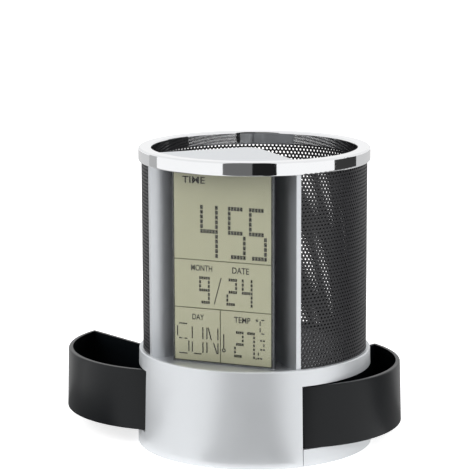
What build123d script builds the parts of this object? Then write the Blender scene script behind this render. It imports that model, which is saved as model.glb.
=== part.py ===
from build123d import *
import math
import os

# Desk clock and pen cup on a round base with two swing-out drawers.
# Millimetres, +Z up, origin in the middle of the flat underside, which four pads hold off the desk.
# The clock faces -Y. The left drawer is on the -X side.

# Driving sizes of the whole object
base_diameter = 100.0
base_height = 40.3
rim_step = 1.1
foot_proud = 0.6
object_height = 126.3

# Fits and clearances
fit_gap = 0.05
seat_gap = 0.1
running_gap = 0.3
panel_gap = 0.25
cut_overrun = 5.0

# Base housing, a drafted shell with a front panel, a rear strip and two mouths
housing_wall = 1.6
rim_round = 0.5
deck_drop = 2.0
deck_thickness = 1.8
band_height = 6.9
panel_half_angle = 45.1
panel_seam = 0.4
post_radius = 3.0
post_x = 7.2
front_post_edge = 5.9
rear_post_edge = 15.9

# Base tray under the drawers
tray_height = 7.0
tray_deck = 1.6
tray_skirt = 1.6
tray_boss_depth = 2.0

# Bottom plate, feet and screws
plate_thickness = 1.8
plate_recess = 0.4
foot_radius = 5.0
foot_edge = 13.0
foot_first_angle = 50.0
plate_screw_edge = 14.0
plate_screw_first_angle = 20.0
plate_boss_radius = 3.0
plate_screw_radius = 1.1
plate_screw_head_radius = 2.3
plate_screw_head_height = 1.2
plate_screw_length = 4.4
tray_screw_radius = 1.25
tray_screw_head_radius = 2.5
tray_screw_head_height = 1.7
tray_screw_bite = 6.0
drive_slot_width = 0.6
drive_slot_depth = 0.5

# Two AAA cells side by side in the spine between the drawers
cell_diameter = 10.5
cell_length = 44.5
cell_nub_radius = 1.9
cell_nub_height = 0.8
cell_gap = 0.1
cell_side_room = 0.12
cell_top_room = 0.2
spring_height = 5.3
spring_radius = 3.2
spring_wire_radius = 0.35
spring_pitch = 1.5
contact_thickness = 0.4
contact_width = 8.6
contact_height = 8.0
battery_wall = 0.8
battery_roof = 1.0
door_thickness = 1.5
door_gap = 0.2
door_ledge = 0.4
door_pin_radius = 0.45
door_pin_reach = 0.9
door_notch_radius = 4.0
door_notch_depth = 0.6

# Swing drawers and their pins
drawer_wall = 1.8
drawer_floor = 1.6
drawer_top_room = 0.4
drawer_side_room = 0.4
drawer_lip_round = 0.6
drawer_corner_round = 1.0
pivot_edge = 4.9
pivot_angle = 53.75
pivot_pin_radius = 1.5
pivot_pin_blind = 0.8
pivot_boss_radius = 3.5
knuckle_radius = 3.7
drawer_nose_gap = 0.43
drawer_bow_inset = 1.2
left_open_angle = 62.4
right_open_angle = 18.3

# Perforated sleeve and ring of the cup
sleeve_edge = 1.7
sleeve_thickness = 0.6
sleeve_bite = 2.5
hole_radius = 5.3
hole_border = 3.0
hole_columns = 12
hole_rows = 5
ring_edge = 0.4
ring_width = 5.5
ring_height = 5.8
ring_round = 0.8
ring_groove_room = 0.2
ring_groove_depth = 3.0

# Clock frame, a quarter of the cup closed by two radial walls
bay_half_angle = 45.3
bay_wall = 2.0
bay_apex_round = 6.5
bay_floor = 1.0
bay_cover_thickness = 1.5
bay_cover_drop = 0.5
bay_wall_round = 0.3
frame_boss_radius = 2.6
frame_boss_height = 8.0
frame_boss_x = 8.0
frame_boss_y = -17.5
frame_screw_radius = 1.2
frame_screw_head_radius = 2.4
frame_screw_head_height = 1.6
frame_screw_bite = 6.0

# Clock module
lens_side_room = 13.27
lens_thickness = 2.0
lens_setback = 12.0
lens_edge_round = 0.4
glass_border = 1.3
glass_thickness = 1.6
glass_foot = 0.6
back_side_step = 6.05
back_wall = 1.0
back_depth = 7.6
back_round = 1.5
zebra_thickness = 2.0
zebra_height = 2.4
zebra_end_step = 1.6
zebra_rise = 4.6
board_side_step = 1.9
board_thickness = 1.0
board_rise = 3.4
board_height = 46.0
chip_radius = 5.0
chip_height = 1.3
chip_rise = 31.0
crystal_radius = 1.0
crystal_length = 6.0
crystal_edge = 5.1
crystal_rise = 24.0
thermistor_radius = 1.2
thermistor_edge = 4.6
thermistor_rise = 12.0
buzzer_radius = 5.5
buzzer_height = 3.0
buzzer_rise = 43.0
buzzer_port_radius = 0.8

# Buttons on the rear strip, their board and switches
button_x = 5.2
button_drop = 11.7
button_pitch = 9.6
button_radius = 3.0
button_hole_room = 0.2
button_flange_radius = 3.8
button_flange_thickness = 0.8
button_proud = 0.7
button_dome_round = 0.4
button_post_radius = 1.1
button_post_length = 1.2
button_travel = 0.6
well_depth = 3.0
well_drop = 5.3
well_height = 20.4
switch_width = 6.0
switch_depth = 2.6
switch_dome_radius = 1.7
switch_dome_height = 0.5
switch_free_play = 0.1
switch_board_thickness = 1.0
switch_board_half_width = 9.6
switch_board_height = 17.6

# Wires inside
lead_radius = 0.6
lead_bend = 1.3
lead_x = 5.35
lead_rise = 9.0
lead_ahead = 3.4
lead_jog_drop = 3.0
ribbon_width = 6.0
ribbon_thickness = 0.8
ribbon_bend = 3.0
ribbon_drop = 4.0
cable_slot_half_width = 7.0
cable_slot_ahead = 1.2
cable_slot_behind = 2.6

# Heights that follow from the sizes above
base_z = -plate_recess
foot_z = base_z - foot_proud
base_radius = base_diameter / 2
rim_radius = base_radius - rim_step
draft_slope = rim_step / base_height
rim_z = base_z + base_height
deck_top_z = rim_z - deck_drop
deck_bottom_z = deck_top_z - deck_thickness
band_z = rim_z - band_height
front_post_y = front_post_edge - rim_radius
rear_post_y = rim_radius - rear_post_edge
foot_circle_radius = base_radius - foot_edge
plate_screw_circle_radius = base_radius - plate_screw_edge
sleeve_radius = rim_radius - sleeve_edge
ring_radius = rim_radius - ring_edge
ring_inner_radius = ring_radius - ring_width
tray_top_z = base_z + tray_height
tray_deck_z = tray_top_z - tray_deck
plate_z = base_z + plate_recess
plate_top_z = plate_z + plate_thickness
door_top_z = plate_z + door_thickness
drawer_z = tray_top_z + running_gap
pin_foot_z = tray_deck_z - tray_boss_depth + pivot_pin_blind
drawer_top_z = band_z - drawer_top_room
ring_top_z = foot_z + object_height
ring_z = ring_top_z - ring_height
bay_floor_z = deck_top_z + bay_floor
cover_top_z = ring_top_z - bay_cover_drop
cover_z = cover_top_z - bay_cover_thickness
cell_radius = cell_diameter / 2
cell_x = cell_radius + cell_gap / 2
cell_z = door_top_z + running_gap + cell_radius
box_half_room = cell_x + cell_radius + cell_side_room
spine_half = box_half_room + battery_wall
box_half_length = (cell_length + spring_height) / 2 + contact_thickness
box_roof_z = cell_z + cell_radius + cell_top_room
box_top_z = box_roof_z + battery_roof
opening_half = box_half_room - door_ledge
drawer_inner_x = spine_half + drawer_side_room
pivot_radius = rim_radius - pivot_edge
pivot_x = pivot_radius * math.sin(math.radians(pivot_angle))
pivot_y = -pivot_radius * math.cos(math.radians(pivot_angle))
drawer_inner_arc = pivot_x - drawer_inner_x
panel_corner_x = (rim_radius - housing_wall) * math.sin(math.radians(panel_half_angle))
panel_corner_y = -(rim_radius - housing_wall) * math.cos(math.radians(panel_half_angle))
drawer_nose_radius = math.hypot(pivot_x - panel_corner_x, pivot_y - panel_corner_y) - drawer_nose_gap
lens_front = sleeve_radius - lens_setback
lens_half = lens_front * math.tan(math.radians(bay_half_angle)) - lens_side_room
lens_z = bay_floor_z
lens_height = cover_z - bay_floor_z
glass_front = lens_front - lens_thickness
back_front = glass_front - glass_thickness
board_front = back_front - zebra_thickness
board_back = board_front - board_thickness
back_half_width = lens_half - back_side_step
board_half_width = back_half_width - board_side_step
cable_slot_front = board_back + cable_slot_ahead
cable_slot_back = board_back - cable_slot_behind
well_face_y = rim_radius - well_depth
well_top_z = rim_z - well_drop
button_high_z = rim_z - button_drop
button_low_z = button_high_z - button_pitch
flange_face_y = well_face_y - seat_gap
button_post_y = flange_face_y - button_flange_thickness - button_post_length
switch_face_y = button_post_y - button_travel - switch_free_play
switch_board_y = switch_face_y - switch_dome_height - switch_depth


def outer_radius(z):
    """Radius of the drafted outside of the base at one height."""
    return base_radius - (z - base_z) * draft_slope


def slab(low, high):
    """Box between two corners."""
    size = [b - a for a, b in zip(low, high)]
    middle = [(a + b) / 2 for a, b in zip(low, high)]
    return Pos(*middle) * Box(*size)


def rod(radius, z_low, z_high, x=0, y=0):
    """Upright cylinder between two heights."""
    return Pos(x, y, (z_low + z_high) / 2) * Cylinder(radius, z_high - z_low)


def rod_along_y(radius, y_low, y_high, x, z):
    """Cylinder along Y between two places."""
    return Pos(x, (y_low + y_high) / 2, z) * Rot(90, 0, 0) * Cylinder(radius, y_high - y_low)


def drafted(inset, z_low, z_high):
    """Solid cone of the base's outside, made smaller all round by an inset."""
    low = outer_radius(z_low) - inset
    high = outer_radius(z_high) - inset
    return Pos(0, 0, (z_low + z_high) / 2) * Cone(low, high, z_high - z_low)


def sector(radius, first_angle, sweep_angle, z_low, z_high):
    """Cake slice about Z, from one angle counter-clockwise."""
    corners = ((0, 0, z_low), (radius, 0, z_low), (radius, 0, z_high), (0, 0, z_high))
    outline = make_face(Polyline(*corners, close=True))
    return Rot(0, 0, first_angle) * revolve(outline, Axis.Z, sweep_angle)


def mirrored(shape):
    """The same shape on the other side of the YZ plane."""
    return mirror(shape, about=Plane.YZ)


def both_sides(shape):
    """A shape and its mirror image, as one node of separate solids."""
    return [shape, mirrored(shape)]


def ring_places(circle_radius, first_angle):
    """Four places on a circle, alike on both sides of X and Y."""
    x = circle_radius * math.cos(math.radians(first_angle))
    y = circle_radius * math.sin(math.radians(first_angle))
    return [(x, y), (-x, y), (-x, -y), (x, -y)]


def post_places():
    """The four posts of the spine."""
    return [(side * post_x, y) for y in (front_post_y, rear_post_y) for side in (-1, 1)]


def button_places():
    """Names and places of the four buttons, as x and z."""
    return {
        "mode_button": (-button_x, button_high_z),
        "set_button": (button_x, button_high_z),
        "up_button": (-button_x, button_low_z),
        "down_button": (button_x, button_low_z),
    }


def screw(radius, head_radius, head_height, z_head, z_tip, x, y, countersunk=False):
    """Upright screw with its slotted head below."""
    z_neck = z_head + head_height
    shank = rod(radius, z_neck - seat_gap, z_tip, x, y)
    if countersunk:
        head = Pos(x, y, (z_head + z_neck) / 2) * Cone(head_radius, radius, head_height)
    else:
        head = rod(head_radius, z_head, z_neck, x, y)
    slot = slab(
        (x - head_radius, y - drive_slot_width / 2, z_head - drive_slot_depth),
        (x + head_radius, y + drive_slot_width / 2, z_head + drive_slot_depth),
    )
    return head + shank - slot


def drawer_mouth():
    """The opening that the left drawer swings through, down to the open bottom edge."""
    reach = base_radius + cut_overrun
    wedge = sector(reach, 90, 180 - panel_half_angle, base_z - cut_overrun, band_z)
    beside_spine = slab((-reach, -reach, base_z - cut_overrun), (-spine_half, reach, band_z))
    core = drafted(housing_wall, base_z - cut_overrun, band_z)
    return (wedge & beside_spine) - core


def base_housing():
    """Drafted shell with rim, deck, spine, posts and the drawers' upper pivot bosses."""
    profile = make_face(
        Polyline(
            (base_radius, 0, base_z),
            (rim_radius, 0, rim_z),
            (rim_radius - housing_wall, 0, rim_z),
            (outer_radius(deck_top_z) - housing_wall, 0, deck_top_z),
            (0, 0, deck_top_z),
            (0, 0, deck_bottom_z),
            (outer_radius(deck_bottom_z) - housing_wall, 0, deck_bottom_z),
            (base_radius - housing_wall, 0, base_z),
            close=True,
        )
    )
    shell = revolve(profile, Axis.Z)
    top_edges = [e for e in shell.edges() if abs(e.center().Z - rim_z) < fit_gap]
    rim_edges = [e for e in top_edges if e.radius > rim_radius - fit_gap]
    shell = fillet(rim_edges, radius=rim_round)
    mouth = drawer_mouth()
    shell = shell - mouth - mirrored(mouth)
    joined_z = deck_bottom_z + fit_gap
    added = slab((-spine_half, -base_radius, tray_top_z), (-box_half_room, base_radius, joined_z))
    added = added + mirrored(added)
    added = added + slab(
        (-box_half_room, well_face_y, well_top_z - well_height),
        (box_half_room, base_radius, well_top_z),
    )
    for x, y in post_places():
        added = added + rod(post_radius, tray_top_z, joined_z, x, y)
    boss = rod(pivot_boss_radius, drawer_top_z + running_gap, joined_z, -pivot_x, pivot_y)
    added = added + boss + mirrored(boss)
    shell = shell + (added & drafted(housing_wall - fit_gap, tray_top_z, joined_z))
    shell = shell - slab(
        (-spine_half - running_gap, -box_half_length - battery_wall - panel_gap, tray_top_z - cut_overrun),
        (spine_half + running_gap, box_half_length + battery_wall + panel_gap, box_top_z + running_gap),
    )
    for x, y in post_places():
        hole_top_z = tray_top_z + tray_screw_bite + fit_gap
        shell = shell - rod(tray_screw_radius, tray_top_z - fit_gap, hole_top_z, x, y)
    for x in (-pivot_x, pivot_x):
        shell = shell - rod(pivot_pin_radius, band_z - cut_overrun, deck_bottom_z, x, pivot_y)
    for x, z in button_places().values():
        radius = button_radius + button_hole_room
        shell = shell - rod_along_y(radius, well_face_y - seat_gap, base_radius + cut_overrun, x, z)
    shell = shell - slab(
        (-cable_slot_half_width, -cable_slot_front, deck_bottom_z - seat_gap),
        (cable_slot_half_width, -cable_slot_back, deck_top_z + seat_gap),
    )
    for x in (-frame_boss_x, frame_boss_x):
        radius = frame_screw_radius + fit_gap
        shell = shell - rod(radius, deck_bottom_z - seat_gap, deck_top_z + seat_gap, x, frame_boss_y)
    return shell


def base_tray():
    """Deck that the drawers swing over, with skirt, screw bosses and the battery box's opening."""
    mouth = sector(base_radius + cut_overrun, 90, 180 - panel_half_angle, base_z, tray_top_z)
    beside = slab(
        (-base_radius - cut_overrun, -base_radius, base_z),
        (-spine_half - panel_gap, base_radius, tray_top_z),
    )
    trim = slab((-base_radius, -base_radius, base_z), (0, 0, tray_top_z))
    trim = Rot(0, 0, 90 - panel_half_angle) * Pos(0, panel_seam, 0) * trim
    band = (drafted(panel_gap, base_z, tray_top_z) & mouth & beside) - trim
    core = drafted(housing_wall + panel_gap, base_z, tray_top_z)
    tray = core + band + mirrored(band)
    hollow_radius = outer_radius(tray_top_z) - housing_wall - panel_gap - tray_skirt
    tray = tray - rod(hollow_radius, base_z - cut_overrun, tray_deck_z)
    for x, y in ring_places(plate_screw_circle_radius, plate_screw_first_angle):
        tray = tray + rod(plate_boss_radius, plate_top_z, tray_deck_z + fit_gap, x, y)
    for x in (-pivot_x, pivot_x):
        boss = rod(pivot_boss_radius, tray_deck_z - tray_boss_depth, tray_deck_z + fit_gap, x, pivot_y)
        tray = tray + (boss & drafted(housing_wall + panel_gap, base_z, tray_top_z))
    for x, y in ring_places(plate_screw_circle_radius, plate_screw_first_angle):
        hole_top_z = plate_z + plate_screw_length + seat_gap
        tray = tray - rod(plate_screw_radius, plate_top_z - seat_gap, hole_top_z, x, y)
    for x in (-pivot_x, pivot_x):
        tray = tray - rod(pivot_pin_radius, pin_foot_z, tray_top_z + seat_gap, x, pivot_y)
    for x, y in post_places():
        tray = tray - rod(tray_screw_radius + fit_gap, base_z, tray_top_z + seat_gap, x, y)
    return tray - slab(
        (-spine_half - fit_gap, -box_half_length - battery_wall - fit_gap, base_z),
        (spine_half + fit_gap, box_half_length + battery_wall + fit_gap, tray_top_z + seat_gap),
    )


def door_half_length():
    """Half the length of the battery door."""
    return box_half_length - door_gap


def bottom_plate():
    """Round plate that closes the tray, with the battery door's opening."""
    radius = outer_radius(tray_top_z) - housing_wall - panel_gap - tray_skirt - door_gap
    plate = rod(radius, plate_z, plate_top_z)
    plate = plate - slab(
        (-opening_half, -box_half_length, plate_z - seat_gap),
        (opening_half, box_half_length, plate_top_z + seat_gap),
    )
    for x, y in ring_places(plate_screw_circle_radius, plate_screw_first_angle):
        plate = plate - rod(plate_screw_radius + fit_gap, plate_z - seat_gap, plate_top_z + seat_gap, x, y)
        sink = Cone(plate_screw_head_radius + fit_gap, plate_screw_radius + fit_gap, plate_screw_head_height)
        plate = plate - Pos(x, y, plate_z + plate_screw_head_height / 2) * sink
    pin_z = plate_z + door_thickness / 2
    pin_y = -door_half_length() + door_thickness / 2
    reach = opening_half + door_pin_reach
    socket = Pos(0, pin_y, pin_z) * Rot(0, 90, 0) * Cylinder(door_pin_radius + fit_gap, reach + reach)
    return plate - socket


def battery_door():
    """Lid under the cells, with a rounded hinge edge, two stub pins and a finger notch."""
    edge = opening_half - door_gap
    pin_z = plate_z + door_thickness / 2
    pin_y = -door_half_length() + door_thickness / 2
    lid = slab((-edge, pin_y, plate_z), (edge, door_half_length(), door_top_z))
    lid = lid + Pos(0, pin_y, pin_z) * Rot(0, 90, 0) * Cylinder(door_thickness / 2, edge + edge)
    stub_end = edge + door_gap + door_pin_reach - seat_gap
    lid = lid + Pos(0, pin_y, pin_z) * Rot(0, 90, 0) * Cylinder(door_pin_radius, stub_end + stub_end)
    return lid - rod(door_notch_radius, plate_z - seat_gap, plate_z + door_notch_depth, 0, door_half_length())


def rubber_feet():
    """Four pads stuck to the bottom plate."""
    places = ring_places(foot_circle_radius, foot_first_angle)
    return [rod(foot_radius, foot_z, plate_z, x, y) for x, y in places]


def plate_screws():
    """Countersunk screws of the bottom plate."""
    return [
        screw(
            plate_screw_radius, plate_screw_head_radius, plate_screw_head_height,
            plate_z, plate_z + plate_screw_length, x, y, countersunk=True,
        )
        for x, y in ring_places(plate_screw_circle_radius, plate_screw_first_angle)
    ]


def tray_screws():
    """Screws from under the tray into the housing's posts."""
    return [
        screw(
            tray_screw_radius, tray_screw_head_radius, tray_screw_head_height,
            tray_deck_z - tray_screw_head_height, tray_top_z + tray_screw_bite, x, y,
        )
        for x, y in post_places()
    ]


def battery_box():
    """Tub over the two cells, open at the bottom, with holes for the leads."""
    long_half = box_half_length + battery_wall
    tub = slab((-spine_half, -long_half, plate_top_z), (spine_half, long_half, box_top_z))
    tub = tub - slab(
        (-box_half_room, -box_half_length, plate_top_z - seat_gap),
        (box_half_room, box_half_length, box_roof_z),
    )
    for x in (-lead_x, lead_x):
        z = base_z + lead_rise
        radius = lead_radius + seat_gap
        tub = tub - rod_along_y(radius, -long_half - seat_gap, -box_half_length + seat_gap, x, z)
    return tub


def battery_cells():
    """Two cells laid head to tail."""
    barrel = Pos(0, 0, -cell_nub_height / 2) * Cylinder(cell_radius, cell_length - cell_nub_height)
    nub = Pos(0, 0, cell_length / 2 - cell_nub_height / 2) * Cylinder(cell_nub_radius, cell_nub_height)
    cell = fillet(barrel.edges(), radius=cell_nub_height / 2) + nub
    shift = spring_height / 2
    left = Pos(-cell_x, shift, cell_z) * Rot(-90, 0, 0) * cell
    right = Pos(cell_x, -shift, cell_z) * Rot(90, 0, 0) * cell
    return [left, right]


def battery_springs():
    """One coil spring at the flat end of each cell."""
    room = spring_height - spring_wire_radius - spring_wire_radius - seat_gap - seat_gap
    path = Helix(spring_pitch, room, spring_radius)
    start = Plane(origin=path @ 0, z_dir=path % 0)
    coil = sweep(start * Circle(spring_wire_radius), path=path, is_frenet=True)
    lift = spring_wire_radius + seat_gap
    end_y = box_half_length - contact_thickness
    left = Pos(-cell_x, -end_y + lift, cell_z) * Rot(-90, 0, 0) * coil
    right = Pos(cell_x, end_y - lift, cell_z) * Rot(90, 0, 0) * coil
    return [left, right]


def battery_contacts():
    """Two plates at the front and one bridge at the rear."""
    low = cell_z - contact_height / 2
    high = cell_z + contact_height / 2
    front = slab(
        (-cell_x - contact_width / 2, -box_half_length, low),
        (-cell_x + contact_width / 2, -box_half_length + contact_thickness, high),
    )
    bridge = slab(
        (-cell_x - contact_width / 2, box_half_length - contact_thickness, low),
        (cell_x + contact_width / 2, box_half_length, high),
    )
    return both_sides(front) + [bridge]


def drawer_plan(inset):
    """Outline of the closed left drawer, drawn in by an inset."""
    reach = base_radius + cut_overrun
    beside = Pos(-reach / 2 - drawer_inner_x - inset, 0) * Rectangle(reach, reach + reach)
    pivot = Pos(-pivot_x, pivot_y)
    inner = pivot * Pos(reach / 2, reach) * Rectangle(reach, reach + reach)
    outer = pivot * Rot(0, 0, 90 - pivot_angle) * Pos(0, reach) * Rectangle(reach + reach, reach + reach)
    behind = inner + outer
    bow_radius = rim_radius - housing_wall - drawer_bow_inset - inset
    bow = (pivot * Circle(drawer_inner_arc - inset)) & Circle(bow_radius)
    nose = pivot * Circle(drawer_nose_radius - inset)
    return (behind + bow + nose) & beside & Circle(reach)


def closed_drawer():
    """The left drawer as it lies when shut: drafted outer wall, open top, floor and knuckle."""
    height = drawer_top_z - drawer_z
    body = Pos(0, 0, drawer_z) * extrude(drawer_plan(0), height)
    body = body & drafted(0, drawer_z, drawer_top_z)
    upright = [e for e in body.edges() if e.bounding_box().size.Z > height / 2]
    corners = [e for e in upright if abs(e.center().Y - pivot_y) > fit_gap]
    body = fillet(corners, radius=drawer_corner_round)
    top = [e for e in body.edges() if abs(e.bounding_box().min.Z - drawer_top_z) < fit_gap]
    body = fillet(top, radius=drawer_lip_round)
    floor_z = drawer_z + drawer_floor
    cavity = Pos(0, 0, floor_z) * extrude(drawer_plan(drawer_wall), height)
    cavity = cavity & drafted(drawer_wall, floor_z, drawer_top_z + cut_overrun)
    knuckle = rod(knuckle_radius, drawer_z, drawer_top_z - drawer_lip_round, -pivot_x, pivot_y)
    bore = rod(pivot_pin_radius + fit_gap, drawer_z - seat_gap, drawer_top_z + seat_gap, -pivot_x, pivot_y)
    return (body - cavity) + knuckle - bore


def swung(drawer, x, angle):
    """A left or right drawer turned about its pin."""
    return Pos(x, pivot_y, 0) * Rot(0, 0, angle) * Pos(-x, -pivot_y, 0) * drawer


def pivot_pins():
    """Steel pins that the drawers turn on."""
    pin = rod(pivot_pin_radius, pin_foot_z + fit_gap, deck_bottom_z - fit_gap, -pivot_x, pivot_y)
    return both_sides(pin)


def bay_plan(inset):
    """Quarter outline of the clock bay with its rounded apex, drawn in by an inset."""
    reach = base_radius + base_radius
    half = math.radians(bay_half_angle)
    apex_y = -inset / math.sin(half)
    side = (reach * math.sin(half), apex_y - reach * math.cos(half))
    outline = make_face(Polyline((0, apex_y), side, (-side[0], side[1]), close=True))
    apex = outline.vertices().sort_by(Axis.Y)[-1]
    return fillet(apex, radius=bay_apex_round - inset)


def clock_frame():
    """Two radial walls joined at the apex, with a floor between them and two screw bosses."""
    walls = bay_plan(0) - bay_plan(bay_wall)
    low = walls & Circle(sleeve_radius)
    high = walls & Circle(ring_inner_radius - door_gap)
    frame = Pos(0, 0, deck_top_z) * extrude(low, ring_z - deck_top_z)
    frame = frame + Pos(0, 0, deck_top_z) * extrude(high, cover_z - deck_top_z)
    floor = bay_plan(0) & Circle(sleeve_radius)
    frame = frame + Pos(0, 0, deck_top_z) * extrude(floor, bay_floor)
    for x in (-frame_boss_x, frame_boss_x):
        frame = frame + rod(frame_boss_radius, deck_top_z, deck_top_z + frame_boss_height, x, frame_boss_y)
    for x in (-frame_boss_x, frame_boss_x):
        hole_top_z = deck_top_z + frame_screw_bite + fit_gap
        frame = frame - rod(frame_screw_radius, deck_top_z - seat_gap, hole_top_z, x, frame_boss_y)
    return frame - slab(
        (-cable_slot_half_width, -cable_slot_front, deck_top_z - seat_gap),
        (cable_slot_half_width, -cable_slot_back, bay_floor_z + seat_gap),
    )


def frame_screws():
    """Screws from under the deck into the clock frame's bosses."""
    return [
        screw(
            frame_screw_radius, frame_screw_head_radius, frame_screw_head_height,
            deck_bottom_z - frame_screw_head_height, deck_top_z + frame_screw_bite, x, frame_boss_y,
        )
        for x in (-frame_boss_x, frame_boss_x)
    ]


def frame_cover():
    """Quarter lid of the clock bay inside the ring."""
    plan = bay_plan(0) & Circle(ring_inner_radius - door_gap)
    lid = Pos(0, 0, cover_z) * extrude(plan, bay_cover_thickness)
    top = [e for e in lid.edges() if abs(e.bounding_box().min.Z - cover_top_z) < fit_gap]
    return fillet(top, radius=bay_wall_round)


def top_ring():
    """Ring on top of the cup, with a groove below for the sleeve."""
    middle = Pos((ring_radius + ring_inner_radius) / 2, ring_z + ring_height / 2)
    section = middle * RectangleRounded(ring_width, ring_height, ring_round)
    groove_width = sleeve_thickness + ring_groove_room + ring_groove_room
    groove_height = ring_groove_depth + ring_groove_depth
    groove = Pos(sleeve_radius - sleeve_thickness / 2, ring_z) * Rectangle(groove_width, groove_height)
    return revolve(Plane.XZ * (section - groove), Axis.Z)


def sleeve_holes(first_angle, sweep_angle):
    """Staggered rows of round holes, fewer and larger than the fine sheet's but as open."""
    column_angle = sweep_angle / hole_columns
    low_z = rim_z + hole_border + hole_radius
    high_z = ring_z - hole_border - hole_radius
    row_step = (high_z - low_z) / (hole_rows - 1)
    drill = Pos(sleeve_radius, 0, low_z) * Rot(0, 90, 0) * Cylinder(hole_radius, cut_overrun + cut_overrun)
    holes = []
    for row in range(hole_rows):
        shift = (1 + row % 2) / 2
        for column in range(hole_columns - row % 2):
            angle = first_angle + (column + shift) * column_angle
            holes.append(Rot(0, 0, angle) * Pos(0, 0, row * row_step) * drill)
    return holes


def mesh_sleeve():
    """Perforated sheet wall of the cup, from one bay wall round the back to the other."""
    edge_angle = math.degrees(seat_gap / sleeve_radius)
    first = -90 + bay_half_angle + edge_angle
    sweep_angle = 360 - bay_half_angle - bay_half_angle - edge_angle - edge_angle
    outside = sector(sleeve_radius, first, sweep_angle, deck_top_z, ring_z + sleeve_bite)
    inside = rod(sleeve_radius - sleeve_thickness, deck_top_z - seat_gap, ring_z + ring_groove_depth)
    return outside - inside - sleeve_holes(first, sweep_angle)


def lcd_lens():
    """Clear slab in front of the display."""
    lens = slab(
        (-lens_half, -lens_front, lens_z),
        (lens_half, -lens_front + lens_thickness, lens_z + lens_height),
    )
    front = [e for e in lens.edges() if abs(e.bounding_box().max.Y + lens_front) < fit_gap]
    return chamfer(front, length=lens_edge_round)


def lcd_glass():
    """Display cell behind the slab, with a clear border round it."""
    half = lens_half - glass_border
    top_z = lens_z + lens_height - seat_gap
    return slab((-half, -glass_front, lens_z + glass_foot), (half, -back_front, top_z))


def clock_back():
    """Slim tub behind the display, open to the front and at the foot over the cable slot."""
    rear = -back_front + back_depth
    plan = Pos(0, (rear - back_front) / 2) * Rectangle(back_half_width + back_half_width, back_depth)
    corners = plan.vertices().sort_by(Axis.Y)[-2:]
    plan = fillet(corners, radius=back_round)
    tub = Pos(0, 0, bay_floor_z) * extrude(plan, lens_height - seat_gap)
    hollow = slab(
        (-back_half_width + back_wall, -back_front - seat_gap, bay_floor_z - seat_gap),
        (back_half_width - back_wall, rear - back_wall, bay_floor_z + lens_height - back_wall),
    )
    return tub - hollow


def zebra_strip():
    """Rubber connector between the display's foot and the board."""
    z = lens_z + zebra_rise
    half = board_half_width - zebra_end_step
    return slab((-half, -back_front, z), (half, -board_front, z + zebra_height))


def clock_board():
    """Circuit board of the clock."""
    z = bay_floor_z + board_rise
    board = slab((-board_half_width, -board_front, z), (board_half_width, -board_back, z + board_height))
    return board


def clock_chip():
    """Bonded chip under its round cap."""
    z = bay_floor_z + chip_rise
    blob = rod_along_y(chip_radius, -board_back, -board_back + chip_height, 0, z)
    rim = [e for e in blob.edges() if abs(e.bounding_box().min.Y + board_back - chip_height) < fit_gap]
    return fillet(rim, radius=chip_height - seat_gap)


def crystal():
    """Watch crystal can lying on the board."""
    z = bay_floor_z + crystal_rise
    x = board_half_width - crystal_edge
    return rod(crystal_radius, z, z + crystal_length, x, -board_back + crystal_radius)


def thermistor():
    """Bead that measures the room temperature."""
    z = bay_floor_z + thermistor_rise
    x = thermistor_edge - board_half_width
    return Pos(x, -board_back + thermistor_radius, z) * Sphere(thermistor_radius)


def buzzer():
    """Sounder on the clock board above the chip, with its port to the rear."""
    z = bay_floor_z + buzzer_rise
    rear = buzzer_height - board_back
    can = rod_along_y(buzzer_radius, -board_back, rear, 0, z)
    port = rod_along_y(buzzer_port_radius, rear - buzzer_height / 2, rear + seat_gap, 0, z)
    return can - port


def key(x, z):
    """One button: domed cap, flange behind the wall and a post towards its switch."""
    surface_y = math.sqrt(outer_radius(z) ** 2 - x ** 2)
    cap = rod_along_y(button_radius, flange_face_y - seat_gap, surface_y + button_proud, x, z)
    tip = [e for e in cap.edges() if abs(e.bounding_box().min.Y - surface_y - button_proud) < fit_gap]
    cap = fillet(tip, radius=button_dome_round)
    flange = rod_along_y(button_flange_radius, flange_face_y - button_flange_thickness, flange_face_y, x, z)
    post = rod_along_y(button_post_radius, button_post_y, flange_face_y - seat_gap, x, z)
    return cap + flange + post


def tact_switches():
    """Four switches with round domes, one behind each button."""
    half = switch_width / 2
    switches = []
    for x, z in button_places().values():
        case = slab(
            (x - half, switch_board_y, z - half),
            (x + half, switch_board_y + switch_depth, z + half),
        )
        dome = rod_along_y(switch_dome_radius, switch_board_y + switch_depth - seat_gap, switch_face_y, x, z)
        switches.append(case + dome)
    return switches


def button_board():
    """Upright board in the rear of the spine that carries the switches."""
    middle = (button_low_z + button_high_z) / 2
    return slab(
        (-switch_board_half_width, switch_board_y - switch_board_thickness, middle - switch_board_height / 2),
        (switch_board_half_width, switch_board_y, middle + switch_board_height / 2),
    )


def battery_leads():
    """Two wires from the front contacts up to the clock board."""
    z_top = bay_floor_z + board_rise + lead_rise
    run_y = -board_back + lead_radius + fit_gap
    front_y = -box_half_length - battery_wall - lead_ahead
    path = FilletPolyline(
        (-lead_x, -box_half_length, base_z + lead_rise),
        (-lead_x, front_y, base_z + lead_rise),
        (-lead_x, front_y, box_top_z),
        (-lead_x, run_y, deck_bottom_z - lead_jog_drop),
        (-lead_x, run_y, z_top),
        radius=lead_bend,
    )
    section = Plane(origin=path @ 0, z_dir=path % 0) * Circle(lead_radius)
    return both_sides(sweep(section, path=path))


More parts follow.
